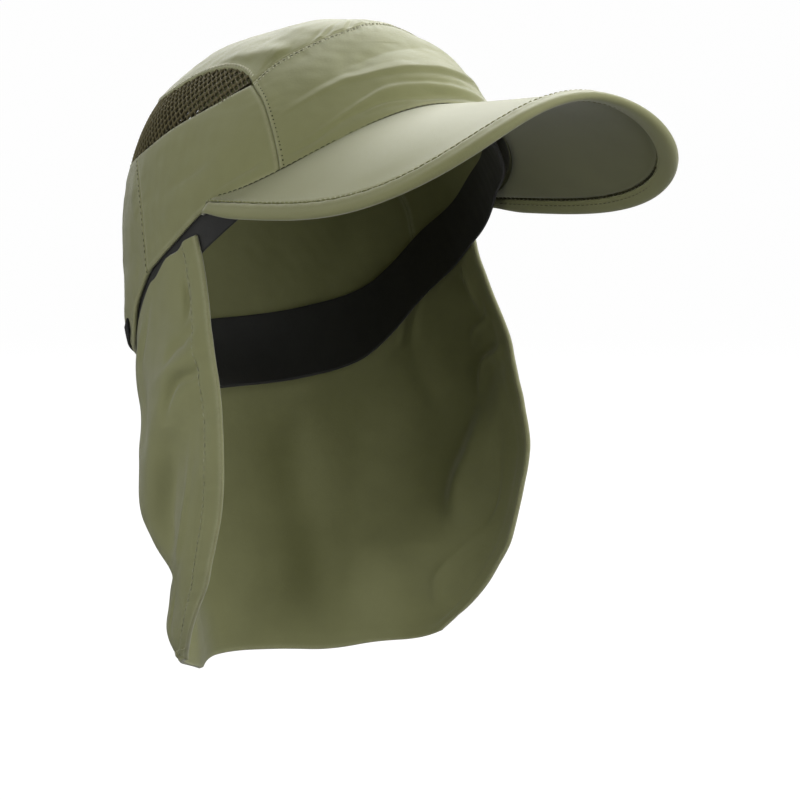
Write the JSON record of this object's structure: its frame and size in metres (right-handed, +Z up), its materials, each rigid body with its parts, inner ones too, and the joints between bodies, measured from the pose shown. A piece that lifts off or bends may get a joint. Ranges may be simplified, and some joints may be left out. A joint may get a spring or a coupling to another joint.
{
  "type": "sun cap with neck flap",
  "caption": "Cloth sun cap with a long arched peak, a mesh vent band, a rear strap and a hanging neck flap, in its worn shape.",
  "frame": {"origin": "middle of the headband, level with the rear corners of the peak, where the cap sits on a head", "axes": "-Y forward along the peak, +X to the wearer's left, +Z up through the crown"},
  "size_m": [0.1878, 0.2779, 0.2952],
  "materials": {
    "crown_cloth": "matt woven olive cloth",
    "vent_mesh": "open knitted mesh, dark olive",
    "band_cloth": "matt dark charcoal cloth",
    "strap": "plain black webbing",
    "peak_cloth": "matt woven olive cloth, stretched smooth",
    "under_cloth": "matt woven olive cloth in shade",
    "flap_cloth": "matt soft woven olive cloth"
  },
  "bodies": {
    "root": {"front_panel": "crown_cloth", "top_panel": "crown_cloth", "side_panel_right": "crown_cloth", "side_panel_left": "crown_cloth", "rear_panel": "crown_cloth", "vent_band": "vent_mesh", "sweatband": "band_cloth", "rear_strap": "strap", "peak_top": "peak_cloth", "peak_edge": "peak_cloth", "peak_underside": "under_cloth", "neck_flap": "flap_cloth"}
  },
  "joints": []
}
